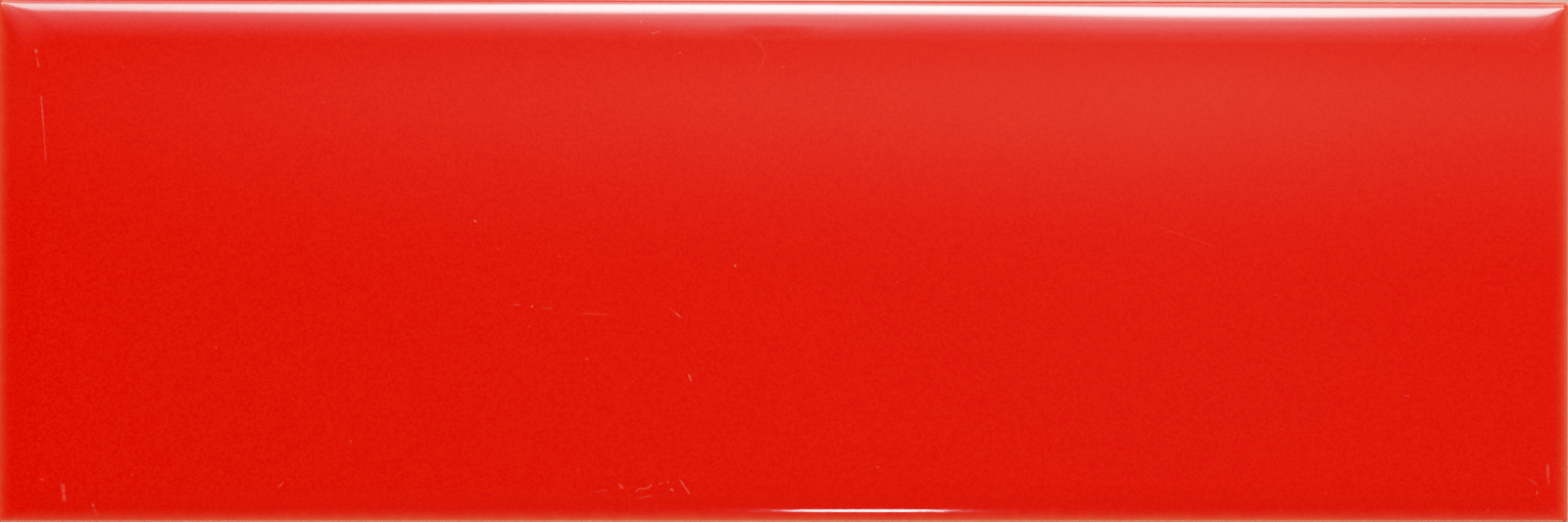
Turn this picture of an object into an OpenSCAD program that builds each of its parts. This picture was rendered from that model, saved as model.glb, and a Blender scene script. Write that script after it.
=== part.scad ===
// Glazed ceramic wall tile, 300 x 100 mm: one dry-pressed and fired piece.
// The glazed face is flat, with a pillowed band all round it that rolls over at the arris.
// The sides taper towards the back, and the back is keyed with shallow pockets for the adhesive.
// The origin is the centre of the bedding face: X is the length, Y the width and Z the thickness.

/* [Tile] */
// Overall length
tile_length = 300; // [150:1:450]
// Overall width
tile_width = 100; // [70:1:300]
// Thickness from the bedding face to the flat of the glazed face
tile_thickness = 8; // [7:0.5:12]
// Radius of the four corners, seen from the face
corner_radius = 1; // [0.9:0.1:4]

/* [Pillowed edge] */
// Width of the pillowed band along each edge
cushion_width = 7.8; // [6:0.2:12]
// Radius of the pillowed band's curve
cushion_radius = 24; // [20:1:80]
// Radius that rolls the band over into the side
arris_radius = 1.5; // [0.8:0.1:2.5]

/* [Sides] */
// How far each side leans in between its widest line and the back bevel
side_taper = 0.2; // [0:0.05:0.3]
// Bevel where each side meets the bedding face
back_bevel = 0.5; // [0.2:0.1:0.5]

/* [Keyed back] */
// Depth of the key pockets
key_depth = 0.7; // [0.3:0.1:1.5]
// Width of a square pocket at its mouth
key_width = 11; // [6:0.5:20]
// Width of the ribs between the pockets
rib_width = 3; // [1.5:0.5:6]
// Least width of the plain border around the pockets
key_border = 8; // [4:0.5:20]
// How far each pocket wall leans in between its mouth and its floor
key_flank = 0.5; // [0:0.1:1.5]

/* [Hidden] */
$fn = 180;

glaze_red = "#d81608";
half_length = tile_length / 2;
half_width = tile_width / 2;
// The arris circle touches the pillowed curve from inside, so the line of their centres leans by this much.
centre_gap = cushion_radius - arris_radius;
lean_sin = (cushion_width - arris_radius) / centre_gap;
lean_cos = sqrt(1 - lean_sin * lean_sin);
// Height of the widest line, where the arris turns into the side
widest_z = tile_thickness - cushion_radius + centre_gap * lean_cos;
// Room given to shapes that are cut off or cut through
spare = 1;

// Section of one edge, with x = 0 at the widest line and negative x into the tile.
// It reaches in as far as the flat of the face.
module edge_section() {
    arris = [-arris_radius, widest_z];
    tangent = arris + arris_radius * [lean_sin, lean_cos];
    intersection() {
        translate([-cushion_width, tile_thickness - cushion_radius])
            circle(r = cushion_radius);
        polygon([
            [-cushion_width, 0],
            [-arris_radius, 0],
            arris,
            tangent,
            tangent + spare * [lean_sin, lean_cos],
            [-cushion_width, tile_thickness + spare]
        ]);
    }
    translate(arris)
        intersection() {
            circle(r = arris_radius);
            square(arris_radius + spare);
        }
    polygon([
        [-cushion_width, 0],
        [-side_taper - back_bevel, 0],
        [-side_taper, back_bevel],
        [0, widest_z],
        arris,
        [-cushion_width, widest_z]
    ]);
}

// Whole section across a tile that is 2 * half_span wide, extruded to run_length and centred.
module bar(half_span, run_length) {
    flat = half_span - cushion_width;
    rotate([90, 0, 0])
        linear_extrude(height = run_length, center = true) {
            translate([-flat, 0])
                square([2 * flat, tile_thickness]);
            translate([half_span, 0])
                edge_section();
            mirror([1, 0])
                translate([half_span, 0])
                    edge_section();
        }
}

// The two sections meet in a mitre at each corner, as the pillowed bands do.
module mitred_slab() {
    intersection() {
        bar(half_length, tile_width);
        rotate([0, 0, 90])
            bar(half_width, tile_length);
    }
}

// Square column that takes the sharp corner away, outside the corner's centre
module corner_column() {
    translate([0, 0, -spare])
        cube([corner_radius + spare, corner_radius + spare, tile_thickness + 2 * spare]);
}

// Quarter turn of the outermost part of the edge section, about the corner's centre
module corner_turn() {
    rotate_extrude(angle = 90)
        intersection() {
            translate([corner_radius, 0])
                edge_section();
            square([corner_radius, tile_thickness]);
        }
}

// Places its children at the centre of each corner radius, facing outwards.
module at_corners() {
    for (flip_x = [0, 1], flip_y = [0, 1])
        mirror([flip_x, 0, 0])
            mirror([0, flip_y, 0])
                translate([half_length - corner_radius, half_width - corner_radius, 0])
                    children();
}

module rounded_slab() {
    difference() {
        mitred_slab();
        at_corners()
            corner_column();
    }
    at_corners()
        corner_turn();
}

// As many pockets as fit between the borders, in a row of the given length
function key_count(row) = floor((row - 2 * key_border + rib_width) / (key_width + rib_width));

// Channels side by side across a row, each as wide as a pocket, and extruded to run_length.
// Their walls carry on past the bedding face, so that the mouths come out cleanly.
module key_channels(row, run_length) {
    pitch = key_width + rib_width;
    count = key_count(row);
    rotate([90, 0, 0])
        linear_extrude(height = run_length, center = true)
            for (i = [0 : count - 1])
                translate([(i - (count - 1) / 2) * pitch, 0])
                    polygon([
                        [-key_width / 2 - key_flank, -key_depth],
                        [key_width / 2 + key_flank, -key_depth],
                        [key_width / 2 - key_flank, key_depth],
                        [-key_width / 2 + key_flank, key_depth]
                    ]);
}

// The pockets are where the channels along X and along Y cross.
module key_pockets() {
    intersection() {
        key_channels(tile_length, tile_width);
        rotate([0, 0, 90])
            key_channels(tile_width, tile_length);
    }
}

module tile() {
    color(glaze_red)
        difference() {
            rounded_slab();
            key_pockets();
        }
}

tile();
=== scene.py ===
"""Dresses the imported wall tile: one pressed body with a red gloss glaze fused to its face.

Shapes are worked out in millimetres, and become metres where a mesh, light or camera is made.
"""

import math

import bpy
import numpy as np
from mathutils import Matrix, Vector, noise


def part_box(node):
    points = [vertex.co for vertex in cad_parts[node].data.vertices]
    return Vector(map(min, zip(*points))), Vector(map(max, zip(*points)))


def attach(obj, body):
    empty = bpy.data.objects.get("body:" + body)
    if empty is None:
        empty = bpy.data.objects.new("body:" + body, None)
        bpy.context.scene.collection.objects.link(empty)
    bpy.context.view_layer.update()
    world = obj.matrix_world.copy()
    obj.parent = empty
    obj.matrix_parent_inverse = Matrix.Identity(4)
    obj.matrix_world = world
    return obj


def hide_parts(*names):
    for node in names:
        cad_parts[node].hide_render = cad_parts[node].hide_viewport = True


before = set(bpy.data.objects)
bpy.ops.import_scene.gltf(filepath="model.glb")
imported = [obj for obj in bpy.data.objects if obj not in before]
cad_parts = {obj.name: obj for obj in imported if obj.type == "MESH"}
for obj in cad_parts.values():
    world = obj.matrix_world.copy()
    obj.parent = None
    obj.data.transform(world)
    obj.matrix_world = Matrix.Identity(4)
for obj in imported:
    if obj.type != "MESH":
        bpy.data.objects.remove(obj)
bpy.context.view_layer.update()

MM = 0.001

# ---------------------------------------------------------------- sizes, as in the tile's source

tile_low, tile_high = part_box("tile")
HALF_X = (tile_high.x - tile_low.x) / 2 / MM
HALF_Y = (tile_high.y - tile_low.y) / 2 / MM
TOP_Z = tile_high.z / MM
CORNER_RADIUS = 1.0
CUSHION_WIDTH = 7.8
CUSHION_RADIUS = 24.0
ARRIS_RADIUS = 1.5
SIDE_TAPER = 0.2
BACK_BEVEL = 0.5
KEY_DEPTH = 0.7
KEY_WIDTH = 11.0
RIB_WIDTH = 3.0
KEY_FLANK = 0.5
KEY_BORDER = 8.0

KEY_PITCH = KEY_WIDTH + RIB_WIDTH
LEAN = math.asin((CUSHION_WIDTH - ARRIS_RADIUS) / (CUSHION_RADIUS - ARRIS_RADIUS))
WIDEST_Z = TOP_Z - CUSHION_RADIUS + (CUSHION_RADIUS - ARRIS_RADIUS) * math.cos(LEAN)

# ---------------------------------------------------------------- how the fired tile differs

# The glaze rounds the mitres. A corner's radius is less by the pinch at first, so that the corner is
# sharpest where the arris ends. Further in, the radius gains a length between two insets and grows by
# a share of the inset besides, up to a most. The corner at -X +Y, where glaze pooled, is the roundest.
MITRE_PINCH = 0.65
PINCH_END = 0.8
PLAIN_MITRE = {"gain": 0.65, "start": 1.2, "end": 2.2, "growth": 0.32, "most": 3.2}
POOLED_MITRE = {"gain": 2.4, "start": 0.7, "end": 4.5, "growth": 0.58, "most": 6.5}
MITRES = (PLAIN_MITRE, PLAIN_MITRE, POOLED_MITRE, PLAIN_MITRE)
# The glaze runs over the arris and ends in a wandering line part way down the sides.
GLAZE_THICKNESS = 0.13
GLAZE_LINE_Z = 3.1
GLAZE_LINE_WANDER = 0.45
# The pillowed band of the +Y side lies a little further in, the more so towards +X, and wanders in
# and out besides. The long highlight bows with it.
BAND_INSET = 0.03
BAND_SLANT = 0.0005
BAND_WANDER = 0.13
BAND_WAVELENGTH = 220.0
BAND_WAVE_X = 50.0
# That side's edge lies a little further in too, fully up to the first of these x, and not past the
# second.
EDGE_BOW = 0.10
EDGE_BOW_ENDS = (20.0, 100.0)
# Slow waves in the glazed face, and the uneven surface of the bare body
GLAZE_WAVE = 0.006
BODY_WANDER = 0.03

# ---------------------------------------------------------------- how finely the mesh is cut

LONG_CELLS = 132
SHORT_CELLS = 44
CORNER_CELLS = 8
ARRIS_STEPS = 14
CUSHION_STEPS = 18
SIDE_CELLS = (LONG_CELLS, SHORT_CELLS, LONG_CELLS, SHORT_CELLS)
LOOP_POINTS = sum(SIDE_CELLS) + 4 * CORNER_CELLS

GLAZE, BODY = 0, 1

# Loops on the bevel: height, and how much further in the loop lies than a plain bevel, at its rim
BEVEL_LOOPS = ((0.0, 0.12), (0.02, 0.03), (0.08, 0.0), (0.42, 0.0))
# Heights of the loops on the bare sides
BODY_LOOPS = (0.56, 0.8, 1.6, 2.4)
# Loops about the glaze's end: how far above it, the share of the glaze's thickness that is missing,
# and the material of the band below
GLAZE_END_LOOPS = (
    (-0.45, 1.0, BODY), (-0.12, 1.0, BODY), (-0.03, 0.85, GLAZE), (0.05, 0.5, GLAZE),
    (0.16, 0.15, GLAZE), (0.36, 0.0, GLAZE), (0.8, 0.0, GLAZE),
)
# Loops on the flat of the face and the grid inside them, by how far they lie in from the cushion
FLAT_LOOPS = (0.6, 1.6)
FACE_GRID_MARGIN = 4.0
# The grid of the keyed back starts this far in from the bevel. Its lines cross each pocket's rim at
# these distances out from the pocket's mouth.
BACK_GRID_MARGIN = 2.5
KEY_RIM = (0.2, 0.02, -KEY_FLANK / 2, 0.02 - KEY_FLANK, -0.2 - KEY_FLANK)


def wander(point, wavelength, seed=0.0):
    """Smooth noise, mostly from -0.5 to 0.5, that swings once in about each wavelength."""
    return noise.noise(Vector(point) / wavelength + Vector((seed, seed, seed)))


def smooth_step(start, end, value):
    """0 up to start, 1 from end on, and a smooth rise between them. They may also run downwards."""
    share = min(max((value - start) / (end - start), 0.0), 1.0)
    return share * share * (3 - 2 * share)


# ---------------------------------------------------------------- the tile's mesh


class Shell:
    """The tile's vertices and faces, made from the middle of the back, round the sides, to the face."""

    def __init__(self):
        self.points = []
        self.faces = []
        self.materials = []

    def add_points(self, points):
        first = len(self.points)
        self.points.extend(points)
        return list(range(first, first + len(points)))

    def add_face(self, corners, material):
        self.faces.append(tuple(corners))
        self.materials.append(material)

    def join_loops(self, first, second, material):
        for i in range(len(first)):
            j = (i + 1) % len(first)
            self.add_face((first[i], first[j], second[j], second[i]), material)

    def join_lines(self, first, second, material):
        """Triangles between two lines that run the same way, however many points each has."""
        i = j = 0
        while i < len(first) - 1 or j < len(second) - 1:
            ahead_first = (i + 1) / (len(first) - 1) if i < len(first) - 1 else 2
            ahead_second = (j + 1) / (len(second) - 1) if j < len(second) - 1 else 2
            if ahead_first <= ahead_second:
                self.add_face((first[i], first[i + 1], second[j]), material)
                i += 1
            else:
                self.add_face((first[i], second[j + 1], second[j]), material)
                j += 1


def outline(inset, radii):
    """Points (x, y) anticlockwise round the tile at this inset, with corners of these four radii.

    The side that faces -Y comes first, then +X, +Y and -X, and each is followed by its corner, so
    the corners are +X -Y, +X +Y, -X +Y and -X -Y.
    """
    reach_x, reach_y = HALF_X - inset, HALF_Y - inset
    signs = ((1, -1), (1, 1), (-1, 1), (-1, -1))
    centres = [(sx * (reach_x - r), sy * (reach_y - r)) for (sx, sy), r in zip(signs, radii)]
    points = []
    for side, cells in enumerate(SIDE_CELLS):
        facing = math.radians(90 * side - 90)
        out_x, out_y = math.cos(facing), math.sin(facing)
        (last_x, last_y), last_radius = centres[side - 1], radii[side - 1]
        (next_x, next_y), radius = centres[side], radii[side]
        start_x, start_y = last_x + last_radius * out_x, last_y + last_radius * out_y
        end_x, end_y = next_x + radius * out_x, next_y + radius * out_y
        for i in range(cells):
            share = i / cells
            points.append((start_x + (end_x - start_x) * share, start_y + (end_y - start_y) * share))
        for i in range(CORNER_CELLS):
            turn = facing + math.radians(90 * i / CORNER_CELLS)
            points.append((next_x + radius * math.cos(turn), next_y + radius * math.sin(turn)))
    return points


def loop_sides(loop):
    """The loop's four straight sides and four corners, each with its end points."""
    sides, corners, at = [], [], 0
    for cells in SIDE_CELLS:
        sides.append([loop[at + i] for i in range(cells + 1)])
        at += cells
        corners.append([loop[(at + i) % LOOP_POINTS] for i in range(CORNER_CELLS + 1)])
        at += CORNER_CELLS
    return sides, corners


def grid_sides(grid):
    """The four edges of a grid of vertices, grid[i][j] along x and y, in the order of loop_sides."""
    bottom = [row[0] for row in grid]
    right = list(grid[-1])
    top = [row[-1] for row in reversed(grid)]
    left = list(reversed(grid[0]))
    return [bottom, right, top, left]


def glaze_height(x, y, inset):
    """How far the slow waves lift the glazed face here. They die out at the arris."""
    fade = smooth_step(0.5, 6.0, inset)
    waves = wander((x, y, 0), 34, 3.1) + 0.6 * wander((x, y, 0), 15, 7.7)
    return GLAZE_WAVE * fade * (waves - 1)


def edge_shift(x, y):
    """How far the edge of the +Y side lies further in here than a straight one."""
    last_full, first_straight = EDGE_BOW_ENDS
    return EDGE_BOW * smooth_step(first_straight, last_full, x) * smooth_step(0.0, 10.0, y)


def band_shift(x, y, inset):
    """How far the +Y side lies further in here: its edge, and past the arris its pillowed band."""
    past_arris = smooth_step(0.0, 0.7, inset)
    fade = past_arris * smooth_step(11.0, 6.0, inset) * smooth_step(0.0, 10.0, y)
    wave = math.sin(math.tau * (x - BAND_WAVE_X) / BAND_WAVELENGTH)
    band = BAND_INSET + BAND_SLANT * x + BAND_WANDER * wave
    return (1 - past_arris) * edge_shift(x, y) + fade * band


def taper_inset(z):
    """How far the leaning side lies in from the widest line at this height."""
    return SIDE_TAPER * (WIDEST_Z - z) / (WIDEST_Z - BACK_BEVEL)


def mitre_radius(inset, gain, start, end, growth, most):
    """A corner's radius at this inset."""
    radius = CORNER_RADIUS - MITRE_PINCH * smooth_step(0.0, PINCH_END, inset) + growth * inset
    return min(radius + gain * smooth_step(start, end, inset), most)


def add_level_loop(shell, inset, z):
    """A loop on the glazed face, where the section is at this inset and height."""
    flat = outline(inset, [mitre_radius(inset, **mitre) for mitre in MITRES])
    return shell.add_points(
        [(x, y - band_shift(x, y, inset), z + glaze_height(x, y, inset)) for x, y in flat])


def glaze_line(x, y):
    """The height at which the glaze ends here."""
    waves = 2 * wander((x, y, 0), 9, 2.4) + wander((x, y, 0), 2.5, 8.8)
    return GLAZE_LINE_Z + GLAZE_LINE_WANDER * waves


def rough_body(x, y, z):
    """How far the uneven bare side lies further in here."""
    return BODY_WANDER * (0.5 + wander((x, y, z), 4, 1.3))


def add_side_loop(shell, widest, heights, insets):
    """A loop on the sides, as high and as far in from the widest line as given for each point."""
    points = []
    for i, ((x, y), z, inset) in enumerate(zip(widest, heights, insets)):
        before, after = widest[i - 1], widest[(i + 1) % LOOP_POINTS]
        run_x, run_y = after[0] - before[0], after[1] - before[1]
        length = math.hypot(run_x, run_y)
        points.append((x - inset * run_y / length, y + inset * run_x / length - edge_shift(x, y), z))
    return shell.add_points(points)


def add_back(shell):
    """The keyed back, as a grid of points whose lines follow the pockets. Returns its four edges."""
    mouth = KEY_WIDTH / 2
    steps = [mouth + out for out in KEY_RIM]

    def lines(half):
        count = math.floor((2 * half - 2 * KEY_BORDER + RIB_WIDTH) / KEY_PITCH)
        middles = [(i - (count - 1) / 2) * KEY_PITCH for i in range(count)]
        places = [m + side * s for m in middles for side in (-1, 1) for s in steps]
        places += middles + [m + KEY_PITCH / 2 for m in middles[:-1]]
        edge = half - SIDE_TAPER - BACK_BEVEL - BACK_GRID_MARGIN
        return sorted(places + [-edge, edge]), middles

    def sunk(place, middles):
        nearest = min(abs(place - m) for m in middles)
        return 1 - smooth_step(steps[-1], steps[0], nearest)

    xs, x_middles = lines(HALF_X)
    ys, y_middles = lines(HALF_Y)
    grid = []
    for x in xs:
        row = []
        for y in ys:
            depth = KEY_DEPTH * min(sunk(x, x_middles), sunk(y, y_middles))
            depth += BODY_WANDER * abs(wander((x, y, 0), 6, 5.2)) * (depth > 0)
            row.append((x, y, depth))
        grid.append(shell.add_points(row))
    for i in range(len(xs) - 1):
        for j in range(len(ys) - 1):
            corners = (grid[i][j], grid[i][j + 1], grid[i + 1][j + 1], grid[i + 1][j])
            shell.add_face(corners, BODY)
    return grid_sides(grid)


def add_face_middle(shell):
    """The flat of the glazed face, as an even grid. Returns its four edges."""
    inset = CUSHION_WIDTH + FACE_GRID_MARGIN
    grid = []
    for i in range(LONG_CELLS + 1):
        x = (HALF_X - inset) * (2 * i / LONG_CELLS - 1)
        row = []
        for j in range(SHORT_CELLS + 1):
            y = (HALF_Y - inset) * (2 * j / SHORT_CELLS - 1)
            row.append((x, y, TOP_Z + glaze_height(x, y, inset)))
        grid.append(shell.add_points(row))
    for i in range(LONG_CELLS):
        for j in range(SHORT_CELLS):
            corners = (grid[i][j], grid[i + 1][j], grid[i + 1][j + 1], grid[i][j + 1])
            shell.add_face(corners, GLAZE)
    return grid_sides(grid)


def side_loops(shell):
    """Loops from the back bevel up to the widest line, each with the material of the band below it."""
    widest = outline(0, [CORNER_RADIUS] * 4)
    loops = []
    for z, extra in BEVEL_LOOPS:
        inset = GLAZE_THICKNESS + SIDE_TAPER + BACK_BEVEL - z + extra
        loop = add_side_loop(shell, widest, [z] * LOOP_POINTS, [inset] * LOOP_POINTS)
        loops.append((loop, BODY))
    for z in BODY_LOOPS:
        insets = [GLAZE_THICKNESS + taper_inset(z) + rough_body(x, y, z) for x, y in widest]
        loops.append((add_side_loop(shell, widest, [z] * LOOP_POINTS, insets), BODY))
    for rise, missing, material in GLAZE_END_LOOPS:
        heights = [glaze_line(x, y) + rise for x, y in widest]
        insets = [missing * GLAZE_THICKNESS + taper_inset(z) for z in heights]
        loops.append((add_side_loop(shell, widest, heights, insets), material))
    return loops


def face_loops(shell):
    """Loops from the widest line over the arris and the pillowed band to the flat of the face."""
    profile = []
    for i in range(ARRIS_STEPS):
        turn = (math.pi / 2 - LEAN) * i / ARRIS_STEPS
        profile.append((ARRIS_RADIUS * (1 - math.cos(turn)), WIDEST_Z + ARRIS_RADIUS * math.sin(turn)))
    for i in range(CUSHION_STEPS + 1):
        turn = LEAN * (1 - i / CUSHION_STEPS)
        drop = CUSHION_RADIUS * (1 - math.cos(turn))
        profile.append((CUSHION_WIDTH - CUSHION_RADIUS * math.sin(turn), TOP_Z - drop))
    for extra in FLAT_LOOPS:
        profile.append((CUSHION_WIDTH + extra, TOP_Z))
    return [(add_level_loop(shell, inset, z), GLAZE) for inset, z in profile]


def vertex_normals(points, faces, materials):
    """The mean normal of the faces round each vertex, which on the bare body counts them by area."""
    normals = np.zeros((len(points), 3))
    for corners, material in zip(faces, materials):
        first, second, last = (points[corners[i]] for i in (0, 1, -1))
        across = np.cross(second - first, last - first)
        weight = 1 / np.linalg.norm(across) if material == GLAZE else 1.0
        for corner in corners:
            normals[corner] += across * weight
    return normals / np.linalg.norm(normals, axis=1, keepdims=True)


def make_tile(materials):
    """The dressed tile, as one closed mesh."""
    shell = Shell()
    back_edges = add_back(shell)
    loops = side_loops(shell) + face_loops(shell)
    sides, corners = loop_sides(loops[0][0])
    for back_edge, side in zip(back_edges, sides):
        shell.join_lines(back_edge, side, BODY)
    for back_edge, corner in zip(back_edges, corners):
        shell.join_lines([back_edge[-1]], corner, BODY)
    for (lower, _), (upper, material) in zip(loops, loops[1:]):
        shell.join_loops(lower, upper, material)
    face_edges = add_face_middle(shell)
    sides, corners = loop_sides(loops[-1][0])
    for side, face_edge in zip(sides, face_edges):
        shell.join_lines(side, face_edge, GLAZE)
    for corner, face_edge in zip(corners, face_edges):
        shell.join_lines(corner, [face_edge[-1]], GLAZE)

    points = np.array(shell.points)
    mesh = bpy.data.meshes.new("glazed_tile")
    mesh.from_pydata((points * MM).tolist(), [], shell.faces)
    mesh.polygons.foreach_set("material_index", shell.materials)
    mesh.polygons.foreach_set("use_smooth", [True] * len(shell.faces))
    for material in materials:
        mesh.materials.append(material)
    mesh.normals_split_custom_set_from_vertices(
        vertex_normals(points, shell.faces, shell.materials).tolist())
    tile = bpy.data.objects.new("glazed_tile", mesh)
    bpy.context.scene.collection.objects.link(tile)
    return tile


# ---------------------------------------------------------------- materials

# Colours of the glaze
DEEP_RED = (0.50, 0.0008, 0.0, 1)
PALE_REDS = ((0.59, 0.0048, 0.0003, 1), (0.61, 0.0054, 0.0005, 1))
THIN_GLAZE = (0.71, 0.158, 0.063, 1)
DARK_SPECK = (0.22, 0.002, 0.001, 1)
LIGHT_SPECK = (0.75, 0.12, 0.07, 1)
MARKED_GLAZE = (0.78, 0.17, 0.12, 1)
# Colours of the bare body
PALE_BODIES = ((0.66, 0.51, 0.38, 1), (0.72, 0.58, 0.45, 1))
BODY_GRAIN = (0.52, 0.38, 0.27, 1)
BODY_SPECK = (0.25, 0.14, 0.09, 1)
STRAY_GLAZE = (0.60, 0.05, 0.015, 1)
BODY_BLUSH = (0.72, 0.22, 0.09, 1)

FLOOR_COLOURS = ((0.50, 0.154, 0.134, 1), (0.54, 0.173, 0.149, 1))

# How high the glaze's orange peel and the body's grain are
PEEL_HEIGHT = 0.0007
BODY_GRAIN_HEIGHT = 0.05

# Marks left in the glaze by handling: from (x, y) to (x, y), with a width and a strength
MARKS = (
    ((-142.3, 39.9), (-142.2, 39.6), 0.60, 0.5),
    ((-142.1, 38.4), (-141.8, 36.8), 0.40, 0.3),
    ((-141.3, 31.2), (-140.9, 26.0), 0.30, 0.5),
    ((-140.9, 26.0), (-140.4, 19.1), 0.30, 0.3),
    ((-51.9, -8.2), (-50.6, -8.2), 0.18, 0.45),
    ((-48.4, -8.6), (-48.2, -8.4), 0.28, 0.95),
    ((-46.3, -8.8), (-44.6, -8.9), 0.18, 0.3),
    ((-38.8, -9.9), (-34.2, -10.0), 0.26, 0.22),
    ((-22.2, -8.8), (-21.0, -9.8), 0.15, 0.4),
    ((-21.0, -9.8), (-20.1, -10.6), 0.22, 0.95),
    ((-38.1, -18.4), (-37.7, -18.6), 0.24, 0.55),
    ((-18.5, -21.6), (-18.1, -22.6), 0.28, 0.85),
    ((-30.7, -23.9), (-30.4, -24.0), 0.22, 0.4),
    ((-43.4, 1.1), (-43.1, 1.0), 0.20, 0.5),
    ((-9.8, -0.7), (-9.6, -0.8), 0.32, 1.0),
    ((-59.3, 7.8), (-59.0, 7.6), 0.30, 0.9),
    ((-31.6, -42.5), (-31.2, -43.0), 0.50, 0.55),
    ((-28.6, -43.7), (-28.0, -43.2), 0.24, 0.4),
    ((-28.0, -43.2), (-26.4, -43.1), 0.24, 0.55),
    ((-26.4, -43.1), (-25.6, -42.5), 0.26, 0.6),
    ((-27.9, -45.0), (-25.9, -44.6), 0.24, 0.35),
    ((-36.2, -43.8), (-34.1, -43.5), 0.28, 0.2),
    ((-24.1, -42.2), (-23.6, -42.2), 0.22, 0.4),
    ((-22.5, -41.9), (-22.3, -41.9), 0.30, 0.5),
    ((-21.8, -43.3), (-21.6, -43.5), 0.46, 0.6),
    ((-20.1, -41.6), (-18.4, -44.1), 0.26, 0.65),
    ((-96.3, -42.8), (-95.5, -42.1), 0.24, 0.5),
    ((-137.1, -42.5), (-137.0, -43.8), 0.75, 0.42),
    ((-136.9, -44.5), (-136.8, -45.4), 0.70, 0.42),
    ((-131.5, -46.2), (-131.4, -46.5), 0.50, 0.55),
    ((-131.2, -47.2), (-130.8, -48.2), 0.60, 0.2),
    ((-141.1, -41.4), (-140.9, -41.5), 0.35, 0.4),
    ((-27.7, 45.9), (-27.7, 45.5), 0.26, 0.6),
    ((-25.7, 43.4), (-24.3, 43.8), 0.20, 0.75),
    ((-20.4, 39.7), (-20.2, 39.9), 0.20, 0.65),
    ((-6.7, 43.0), (-5.1, 41.7), 0.14, 0.3),
    ((-5.1, 41.7), (-4.1, 39.4), 0.14, 0.4),
    ((-4.1, 39.4), (-4.7, 37.6), 0.14, 0.4),
    ((-4.7, 37.6), (-5.5, 35.9), 0.14, 0.25),
    ((-1.0, 37.1), (-0.6, 37.2), 0.22, 0.5),
    ((-108.3, -16.3), (-108.1, -16.5), 0.24, 0.5),
    ((-82.8, -34.0), (-82.6, -34.3), 0.24, 0.5),
    ((-88.0, 30.4), (-87.8, 30.2), 0.24, 0.5),
    ((-125.9, 36.9), (-125.7, 36.7), 0.26, 0.5),
    ((145.8, -38.7), (145.9, -40.8), 0.55, 0.42),
    ((145.9, -41.0), (146.0, -42.4), 0.45, 0.2),
    ((142.4, -41.5), (143.6, -42.3), 0.40, 0.22),
    ((143.7, -43.8), (143.7, -44.1), 0.36, 0.5),
    ((148.7, -39.4), (148.7, -39.6), 0.45, 0.35),
    ((134.3, -47.2), (134.4, -47.3), 0.40, 0.3),
    ((69.9, 7.3), (81.2, 3.2), 0.24, 0.1),
    ((19.2, 2.1), (19.5, 2.0), 0.22, 0.4),
    ((93.3, -6.1), (93.6, -6.1), 0.22, 0.4),
    ((118.3, -25.4), (119.1, -25.5), 0.20, 0.45),
    ((17.3, -39.0), (17.6, -39.1), 0.24, 0.45),
    ((121.8, 42.8), (122.0, 42.8), 0.24, 0.6),
    ((126.7, 42.8), (126.9, 42.8), 0.24, 0.6),
)


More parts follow.
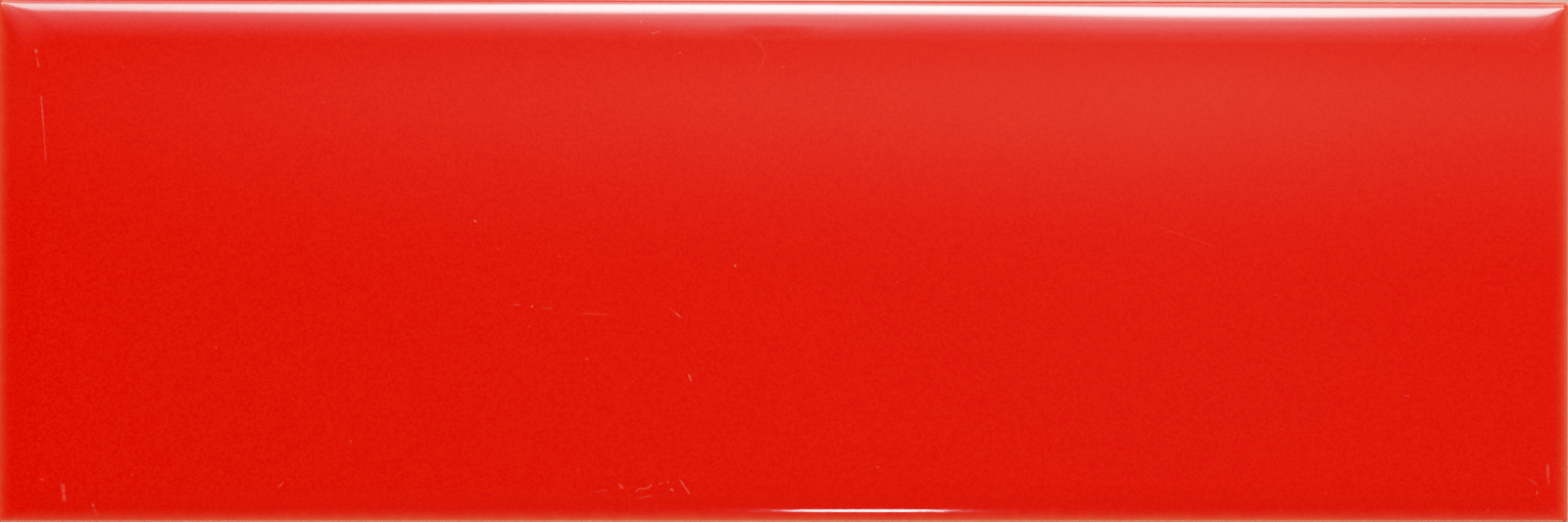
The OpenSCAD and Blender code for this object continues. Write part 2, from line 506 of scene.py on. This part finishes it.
class Tree:
    """The nodes of a material, light or world. Inputs may be numbers, colours or sockets."""

    def __init__(self, owner):
        owner.use_nodes = True
        self.tree = owner.node_tree
        self.tree.nodes.clear()

    def node(self, kind, inputs=(), output=0, **settings):
        """An output of a new node, or the node itself where output is None."""
        made = self.tree.nodes.new(kind)
        for name, value in settings.items():
            setattr(made, name, value)
        for key, value in dict(inputs).items():
            if isinstance(value, bpy.types.NodeSocket):
                self.tree.links.new(value, made.inputs[key])
            else:
                made.inputs[key].default_value = value
        return made.outputs[output] if output is not None else made

    def math(self, operation, a, b=0.0):
        return self.node("ShaderNodeMath", {0: a, 1: b}, operation=operation)

    def plus(self, a, b):
        return self.math("ADD", a, b)

    def minus(self, a, b):
        return self.math("SUBTRACT", a, b)

    def times(self, first, *others):
        """The product of them all, taken in this order."""
        for other in others:
            first = self.math("MULTIPLY", first, other)
        return first

    def larger(self, a, b):
        return self.math("MAXIMUM", a, b)

    def distance(self, value, middle):
        """How far a number is from this middle."""
        return self.math("ABSOLUTE", self.minus(value, middle))

    def rise(self, value, start, end, low=0.0, high=1.0):
        """low up to start, high from end on, and a smooth step between them."""
        return self.node(
            "ShaderNodeMapRange",
            {"Value": value, "From Min": start, "From Max": end, "To Min": low, "To Max": high},
            interpolation_type="SMOOTHSTEP")

    def hump(self, value, rising, falling, height=1.0):
        """0, a smooth rise to this height over the rising stretch, and back to 0 over the falling one."""
        return self.times(
            self.rise(value, *rising, 0.0, height), self.rise(value, *falling, 1.0, 0.0))

    def rise_line(self, value, start, end):
        """0 up to start, 1 from end on, and a straight rise between them."""
        return self.node(
            "ShaderNodeMapRange", {"Value": value, "From Min": start, "From Max": end})

    def noise(self, vector, scale, detail=2.0, roughness=0.5):
        """Noise from 0 to 1, whose swings are about 1 / scale long."""
        return self.node(
            "ShaderNodeTexNoise",
            {"Vector": vector, "Scale": scale, "Detail": detail, "Roughness": roughness})

    def mix(self, share, a, b):
        """This share of the way from one colour to the other."""
        return self.node(
            "ShaderNodeMix", {0: share, 6: a, 7: b}, output=2, data_type="RGBA", clamp_factor=True)

    def parts(self, vector):
        """The x, y and z of a vector."""
        return [self.node("ShaderNodeSeparateXYZ", {0: vector}, output=axis) for axis in "XYZ"]

    def place(self):
        """The point on the object, in millimetres."""
        place = self.node("ShaderNodeTexCoord", output="Object")
        return self.node(
            "ShaderNodeVectorMath", {0: place, "Scale": 1 / MM}, operation="SCALE")

    def bump(self, height):
        """The normal of a surface that is this much higher here, in metres."""
        return self.node("ShaderNodeBump", {"Strength": 1.0, "Distance": 1.0, "Height": height})

    def specks(self, place, spacing, size, share):
        """Round specks of about this size, in this share of the cells of this spacing."""
        cells = self.node(
            "ShaderNodeTexVoronoi", {"Vector": place, "Scale": 1 / spacing}, output=None)
        pick = self.node("ShaderNodeSeparateColor", {0: cells.outputs["Color"]}, output="Red")
        chosen = self.math("LESS_THAN", pick, share)
        spot = self.rise(cells.outputs["Distance"], size / spacing, 0.5 * size / spacing)
        return self.times(chosen, spot)


def mark_cover(t, place):
    """How much of the glaze the marks cover here, 0 to 1."""
    flat = t.node("ShaderNodeVectorMath", {0: place, 1: (1, 1, 0)}, operation="MULTIPLY")
    cover = 0.0
    for (from_x, from_y), (to_x, to_y), width, strength in MARKS:
        start = Vector((from_x, from_y, 0))
        run = Vector((to_x, to_y, 0)) - start
        off = t.node("ShaderNodeVectorMath", {0: flat, 1: start}, operation="SUBTRACT")
        along = t.node(
            "ShaderNodeVectorMath", {0: off, 1: run / run.length_squared}, output="Value",
            operation="DOT_PRODUCT")
        share = t.math("MINIMUM", t.larger(along, 0.0), 1.0)
        nearest = t.node("ShaderNodeVectorMath", {0: run, "Scale": share}, operation="SCALE")
        away = t.node(
            "ShaderNodeVectorMath", {0: off, 1: nearest}, output="Value", operation="DISTANCE")
        cover = t.larger(cover, t.rise(away, 0.7 * width, 0.15 * width, 0.0, strength))
    worn = t.rise(t.noise(place, 1.6, 3, 0.7), 0.35, 0.6, 0.45, 1.0)
    return t.times(cover, worn)


def thin_glaze(t, place):
    """How thin the glaze is here, 0 to 1. There the pale body warms it.

    It thins towards the edges, least on the +Y side, where it pooled, and most over the arris and
    down the sides.
    """
    x, y, z = t.parts(place)
    from_end = t.minus(HALF_X, t.math("ABSOLUTE", x))
    from_side = t.minus(HALF_Y, t.math("ABSOLUTE", y))
    from_edge = t.math("MINIMUM", from_end, from_side)
    patchy = t.noise(place, 0.45, 3)
    fall = t.times(from_edge, t.rise(patchy, 0.3, 0.7, -1.3, -1.0))
    reach = t.rise(from_edge, 3.8, 1.2, 0.0, 0.56)
    reach = t.times(reach, t.rise(t.math("ABSOLUTE", x), 70, 140, 1.08, 0.72))
    not_pooled = t.larger(
        t.rise(y, HALF_Y - 3.5, HALF_Y - 1.0, 1.0, 0.1), t.rise(from_end, 8.0, 1.0))
    thin_top = t.times(t.math("EXPONENT", fall), t.times(not_pooled, reach))
    thin_side = t.rise(t.plus(z, t.times(patchy, 0.8)), WIDEST_Z + 1.4, WIDEST_Z)
    return t.larger(thin_top, thin_side)


def glaze_colour(t, place, thin):
    """Red with a fine pale grain and both dark and light specks, and orange where it is thin."""
    cloud = t.noise(place, 0.05, 3)
    grain = t.rise(t.noise(place, 2.2, 2, 0.6), 0.3, 0.7)
    colour = t.mix(grain, DEEP_RED, t.mix(cloud, *PALE_REDS))
    colour = t.mix(thin, colour, THIN_GLAZE)
    dark = t.specks(place, 2.4, 0.16, 0.35)
    colour = t.mix(t.times(dark, 0.55), colour, DARK_SPECK)
    elsewhere = t.node("ShaderNodeVectorMath", {0: place, 1: (5.3, 2.9, 7.7)}, operation="ADD")
    light = t.specks(elsewhere, 5.0, 0.16, 0.3)
    return t.mix(t.times(light, 0.35), colour, LIGHT_SPECK)


def glaze_material():
    """The red gloss glaze, with marks that are paler and duller, and a faint orange peel."""
    material = bpy.data.materials.new("red_gloss_glaze")
    t = Tree(material)
    place = t.place()
    colour = glaze_colour(t, place, thin_glaze(t, place))
    marks = mark_cover(t, place)
    colour = t.mix(t.times(marks, 0.42), colour, MARKED_GLAZE)
    peel = t.plus(t.noise(place, 0.7, 2, 0.4), t.times(t.noise(place, 2.0, 0), 0.15))
    bump = t.bump(t.times(peel, PEEL_HEIGHT * MM))
    rough = t.rise(t.noise(place, 0.9, 3), 0.2, 0.8, 0.035, 0.06)
    rough = t.plus(rough, t.times(marks, 0.3))
    shader = t.node(
        "ShaderNodeBsdfPrincipled",
        {"Base Color": colour, "Roughness": rough, "IOR": 1.52, "Normal": bump})
    t.node("ShaderNodeOutputMaterial", {"Surface": shader}, output=None)
    return material


def body_material():
    """The matt bare body, with grain and specks, and stray glaze that is denser near the glaze line."""
    material = bpy.data.materials.new("fired_body")
    t = Tree(material)
    place = t.place()
    z = t.parts(place)[2]
    cloud = t.noise(place, 0.12, 3)
    grain = t.noise(place, 3.0, 4, 0.7)
    colour = t.mix(cloud, *PALE_BODIES)
    colour = t.mix(t.rise(grain, 0.35, 0.75, 0.0, 0.35), colour, BODY_GRAIN)
    dark = t.specks(place, 1.3, 0.16, 0.12)
    colour = t.mix(t.times(dark, 0.7), colour, BODY_SPECK)
    near_glaze = t.rise(z, 1.5, GLAZE_LINE_Z + 0.8)
    spray = t.specks(place, 0.8, 0.2, 0.35)
    colour = t.mix(t.times(spray, near_glaze), colour, STRAY_GLAZE)
    blush = t.times(t.rise(z, 2.6, GLAZE_LINE_Z + 0.4), 0.45)
    colour = t.mix(blush, colour, BODY_BLUSH)
    bump = t.bump(t.times(grain, BODY_GRAIN_HEIGHT * MM))
    shader = t.node(
        "ShaderNodeBsdfPrincipled",
        {"Base Color": colour, "Roughness": 0.9, "IOR": 1.45, "Normal": bump})
    t.node("ShaderNodeOutputMaterial", {"Surface": shader}, output=None)
    return material


def floor_material():
    """A matt pale floor that is slightly uneven in colour."""
    material = bpy.data.materials.new("pale_floor")
    t = Tree(material)
    place = t.place()
    colour = t.mix(t.noise(place, 0.01, 3), *FLOOR_COLOURS)
    shader = t.node("ShaderNodeBsdfPrincipled", {"Base Color": colour, "Roughness": 0.75})
    t.node("ShaderNodeOutputMaterial", {"Surface": shader}, output=None)
    return material


# ---------------------------------------------------------------- the tile

tile = make_tile([glaze_material(), body_material()])
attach(tile, "root")
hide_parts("tile")

# ---------------------------------------------------------------- camera, above the tile

# It stands a little to the left of what it aims at, so that the tile's left end looks larger.
CAMERA_DISTANCE = 0.9972
CAMERA_LEAN = math.radians(1.9)
CAMERA_ROLL = math.radians(0.085)
AIM = Vector((-0.37, 0.13, WIDEST_Z)) * MM
camera_data = bpy.data.cameras.new("camera")
camera_data.lens = 120
camera_data.sensor_width = 36
camera = bpy.data.objects.new("camera", camera_data)
camera.location = AIM + CAMERA_DISTANCE * Vector((-math.sin(CAMERA_LEAN), 0, math.cos(CAMERA_LEAN)))
camera.rotation_euler = (0, -CAMERA_LEAN, CAMERA_ROLL)
bpy.context.scene.collection.objects.link(camera)
bpy.context.scene.camera = camera

# The camera's response is true up to a little over half the range, and then rolls off, which keeps
# the red from clipping. The curve's input is scaled so that its whole width is BRIGHTEST. Each point
# of the roll-off is what is seen and how it is shown.
BRIGHTEST = 2.5
ROLL_OFF = ((0.62, 0.62), (0.95, 0.727), (1.45, 0.863))
view = bpy.context.scene.view_settings
view.view_transform = "Standard"
view.use_curve_mapping = True
response = view.curve_mapping
response.white_level = (BRIGHTEST, BRIGHTEST, BRIGHTEST)
shoulder = response.curves[3]
shoulder.points[0].location = (0, 0)
shoulder.points[1].location = (1, 1)
for seen, shown in ROLL_OFF:
    shoulder.points.new(seen / BRIGHTEST, shown)
shoulder.points[0].handle_type = "VECTOR"
shoulder.points[1].handle_type = "AUTO_CLAMPED"
response.update()

# ---------------------------------------------------------------- floor

FLOOR_HALF = 8.0
floor_mesh = bpy.data.meshes.new("floor")
floor_mesh.from_pydata(
    [(-FLOOR_HALF, -FLOOR_HALF, 0), (FLOOR_HALF, -FLOOR_HALF, 0),
     (FLOOR_HALF, FLOOR_HALF, 0), (-FLOOR_HALF, FLOOR_HALF, 0)], [], [(0, 1, 2, 3)])
floor_mesh.materials.append(floor_material())
floor = bpy.data.objects.new("floor", floor_mesh)
bpy.context.scene.collection.objects.link(floor)

# ---------------------------------------------------------------- lights

# Each light faces the pillowed band of one long edge, on a line this far from the tile's middle.
BAND_Y = HALF_Y * MM - 0.003
LIGHT_DISTANCE = 1.1
SOFTBOX_ANGLE = 32.6
SOFTBOX_LENGTH, SOFTBOX_WIDTH = 1.1, 0.275
SOFTBOX_RADIANCE = 38
LAMP_ANGLE = -27.6
LAMP_LENGTH, LAMP_WIDTH = 0.100, 0.030
LAMP_X = 0.069
LAMP_RADIANCE = 50


def area_light(name, shape, angle, band_y, size, radiance, x=0.0):
    """A flat light that faces a band of the tile, at this angle from straight up towards +Y.

    It is as bright as asked whatever its size. Returns its data.
    """
    data = bpy.data.lights.new(name, "AREA")
    data.shape = shape
    data.size, data.size_y = size
    area = size[0] * size[1] * (math.pi / 4 if shape == "ELLIPSE" else 1)
    data.energy = radiance * math.pi * area
    light = bpy.data.objects.new(name, data)
    turn = math.radians(angle)
    light.location = Vector((x, band_y, TOP_Z * MM)) + LIGHT_DISTANCE * Vector(
        (0, math.sin(turn), math.cos(turn)))
    light.rotation_euler = (-turn, 0, 0)
    light.visible_camera = False
    bpy.context.scene.collection.objects.link(light)
    return data


def light_place(t, axis):
    """How far a point of the light lies along it (X) or across it (Y), from 0 to 1."""
    spot = t.node("ShaderNodeNewGeometry", output="Parametric")
    return t.node("ShaderNodeSeparateXYZ", {0: spot}, output=axis)


def light_up(t, strength):
    emission = t.node("ShaderNodeEmission", {"Strength": strength})
    t.node("ShaderNodeOutputLight", {"Surface": emission}, output=None)


def make_softbox():
    """A long softbox on the +Y side, which the pillowed edge mirrors as the long highlight.

    It fades towards its rims, and along its length from a middle that is a little to the right. Its
    lower rim lies further in to the left, a trace further in at the right end, and further out
    between them.
    """
    data = area_light(
        "softbox", "RECTANGLE", SOFTBOX_ANGLE, BAND_Y, (SOFTBOX_LENGTH, SOFTBOX_WIDTH),
        SOFTBOX_RADIANCE)
    t = Tree(data)
    across = light_place(t, "Y")
    from_middle = t.times(t.minus(light_place(t, "X"), 0.5), SOFTBOX_LENGTH)
    from_peak = t.math(
        "DIVIDE", t.minus(from_middle, 0.05), t.rise(from_middle, 0.0, 0.1, 0.3, 0.35))
    lengthwise = t.math("EXPONENT", t.times(from_peak, from_peak, -1.0))
    covered = t.times(
        t.rise(from_middle, -0.28, -0.13, 0.08, 0.0), t.rise(from_middle, -0.42, -0.30, 0.3, 1.0))
    covered = t.larger(covered, t.rise(from_middle, 0.31, 0.37, 0.0, 0.02))
    bared = t.hump(from_middle, (0.13, 0.19), (0.25, 0.31), 0.08)
    from_lower_rim = t.minus(t.plus(across, bared), covered)
    from_rim = t.math("MINIMUM", from_lower_rim, t.minus(1.0, across))
    light_up(t, t.times(lengthwise, t.rise(from_rim, 0.0, 0.45)))


def make_small_lamp():
    """A small lamp on the -Y side, which gives the short bright line there. Its ends fade."""
    data = area_light(
        "small_lamp", "ELLIPSE", LAMP_ANGLE, -BAND_Y, (LAMP_LENGTH, LAMP_WIDTH), LAMP_RADIANCE,
        LAMP_X)
    t = Tree(data)
    light_up(t, t.rise(t.distance(light_place(t, "X"), 0.5), 0.36, 0.18))


# ---------------------------------------------------------------- the room that the tile mirrors

# The room's light depends on the direction (x, y, z) of the look, a vector of length 1. So y is 0
# straight up, about 0.54 at the softbox, and 1 at the +Y horizon. The ceiling ends in a dark seam just
# past straight up, and at the notch something narrow stands before the glow.
SEAM_Y = 0.042
NOTCH_X = 0.0310
NEUTRAL = (1.0, 1.0, 1.0, 1)
WARM = (1.1, 1.0, 0.70, 1)


def glow_by_height(w, y):
    """The glow on the +Y side. It grows from straight up, across the seam, down to the softbox."""
    glow = w.times(w.math("EXPONENT", w.times(y, 6.4)), 0.33)
    glow = w.math("MINIMUM", glow, 6.6)
    below_softbox = w.rise(y, 0.62, 0.85, 1.0, 0.78)
    past_straight_up = w.rise(y, -0.002, 0.030, 0.46, 1.45)
    seam = w.rise(w.distance(y, SEAM_Y), 0.002, 0.008, 0.78, 1.0)
    return w.times(w.times(glow, below_softbox), w.times(past_straight_up, seam))


def glow_round_softbox(w, x, y):
    """What the glow gains beside the softbox's ends and below its left half, as a share of it."""
    beside = w.larger(w.rise(x, -0.14, -0.24, 0.0, 2.0), w.rise(x, 0.22, 0.32, 0.0, 1.1))
    beside = w.plus(beside, w.rise(x, -0.32, -0.42, 0.0, 2.5))
    beside = w.times(beside, w.rise(w.math("ABSOLUTE", x), 0.65, 0.5))
    beside = w.times(beside, w.hump(y, (0.09, 0.29), (0.48, 0.58)))
    below = w.times(w.rise(x, 0.11, -0.12, 0.0, 0.65), w.rise(x, -0.4, -0.25))
    below = w.times(below, w.hump(y, (0.60, 0.66), (0.88, 0.97)))
    return w.larger(beside, below)


def glow_across_room(w, x, y, z, low_down):
    """How the glow changes from left to right: one way near straight up, and another low down."""
    # Towards the room's sides it fades, sooner near the horizon, and later on the right.
    reach = w.times(w.math("ABSOLUTE", x), w.rise(z, 0.5, 0.85, 2.0, 1.0))
    spread = w.times(w.rise(x, 0.3, 0.5, 0.0, 0.25), w.rise(y, 0.05, 0.12))
    ahead = w.rise(w.minus(reach, spread), 0.95, 0.40)

    high = w.math("POWER", w.rise_line(x, -0.122, 0.103), 0.75)
    high = w.times(high, w.rise(x, 0.105, 0.175, 1.0, 0.75))
    far_left = w.times(w.rise(x, -0.10, -0.20, 0.115, 0.15), ahead, w.rise(y, 0.0, 0.025))
    high = w.larger(high, far_left)

    low = w.times(w.rise(x, -0.127, 0.073, 0.25, 0.6), ahead, w.rise(x, 0.10, 0.18, 1.0, 0.75))
    low = w.times(low, w.plus(1.0, glow_round_softbox(w, x, y)))
    return w.node("ShaderNodeMix", {0: low_down, 2: high, 3: low})


def glow_swells(w, x, y, from_notch):
    """What the glow gains in a band above the seam, and in spots round the notch and right of it."""
    above_seam = w.hump(y, (0.016, 0.032), (0.0345, 0.0395), 0.45)
    right = w.hump(x, (0.075, 0.10), (0.145, 0.160), 0.25)
    swell = w.larger(w.rise(from_notch, 0.030, 0.008, 0.0, 0.4), right)
    swell = w.times(swell, w.rise(y, 0.05, 0.12), w.rise(y, 0.35, 0.27))
    above_softbox = w.times(
        w.hump(y, (0.35, 0.40), (0.45, 0.50), 0.35), w.hump(x, (0.085, 0.105), (0.125, 0.155)))
    return w.plus(above_seam, w.plus(swell, above_softbox))


def notch(w, x, y, from_notch):
    """The share of the glow that something narrow hides. Its top is ragged."""
    ragged = w.node("ShaderNodeTexNoise", {"W": x, "Scale": 600.0}, noise_dimensions="1D")
    below_top = w.rise(w.plus(y, w.times(ragged, 0.15)), 0.348, 0.341, 0.0, 0.62)
    return w.times(w.rise(from_notch, 0.0066, 0.0050), below_top)


def pale_room(w, x, y, z):
    """The rest: dark overhead, and pale low down, palest at -Y, with a soft window at each -Y corner."""
    off_side = w.math("ABSOLUTE", x)
    low_wall = w.rise(z, 0.9, 0.2, 0.0, 0.35)
    behind = w.times(w.rise(z, 0.75, 0.0, 0.0, 2.4), w.rise(y, -0.3, -0.9))
    behind = w.plus(behind, w.rise(y, -0.40, -0.75, 0.0, 0.25))
    behind = w.times(behind, w.rise(off_side, 0.6, 0.25))
    overhead = w.times(w.rise(y, -0.04, -0.25, 0.0, 0.07), w.rise(x, -0.14, -0.04))
    behind = w.plus(behind, overhead)
    window = w.times(w.rise(off_side, 0.25, 0.4), w.rise(y, -0.2, -0.35))
    window = w.times(window, w.rise(z, 0.25, 0.45, 0.0, 0.5))
    return w.plus(window, w.plus(low_wall, behind))


def make_room():
    """The whole surround, warm but for the glow low down at +Y, and dark below the horizon."""
    world = bpy.data.worlds.new("studio")
    bpy.context.scene.world = world
    w = Tree(world)
    x, y, z = w.parts(w.node("ShaderNodeTexCoord", output="Generated"))
    low_down = w.rise(y, 0.05, 0.15)
    from_notch = w.distance(x, NOTCH_X)

    glow = w.times(glow_by_height(w, y), glow_across_room(w, x, y, z, low_down))
    glow = w.times(glow, w.plus(1.0, glow_swells(w, x, y, from_notch)))
    hidden = w.times(notch(w, x, y, from_notch), low_down)
    glow = w.times(glow, w.minus(1.0, hidden))
    above_horizon = w.rise(z, -0.1, 0.0)
    strength = w.times(w.plus(glow, pale_room(w, x, y, z)), above_horizon)
    tint = w.mix(w.rise(y, 0.05, 0.3), WARM, NEUTRAL)
    background = w.node("ShaderNodeBackground", {"Color": tint, "Strength": strength})
    w.node("ShaderNodeOutputWorld", {"Surface": background}, output=None)


make_softbox()
make_small_lamp()
make_room()
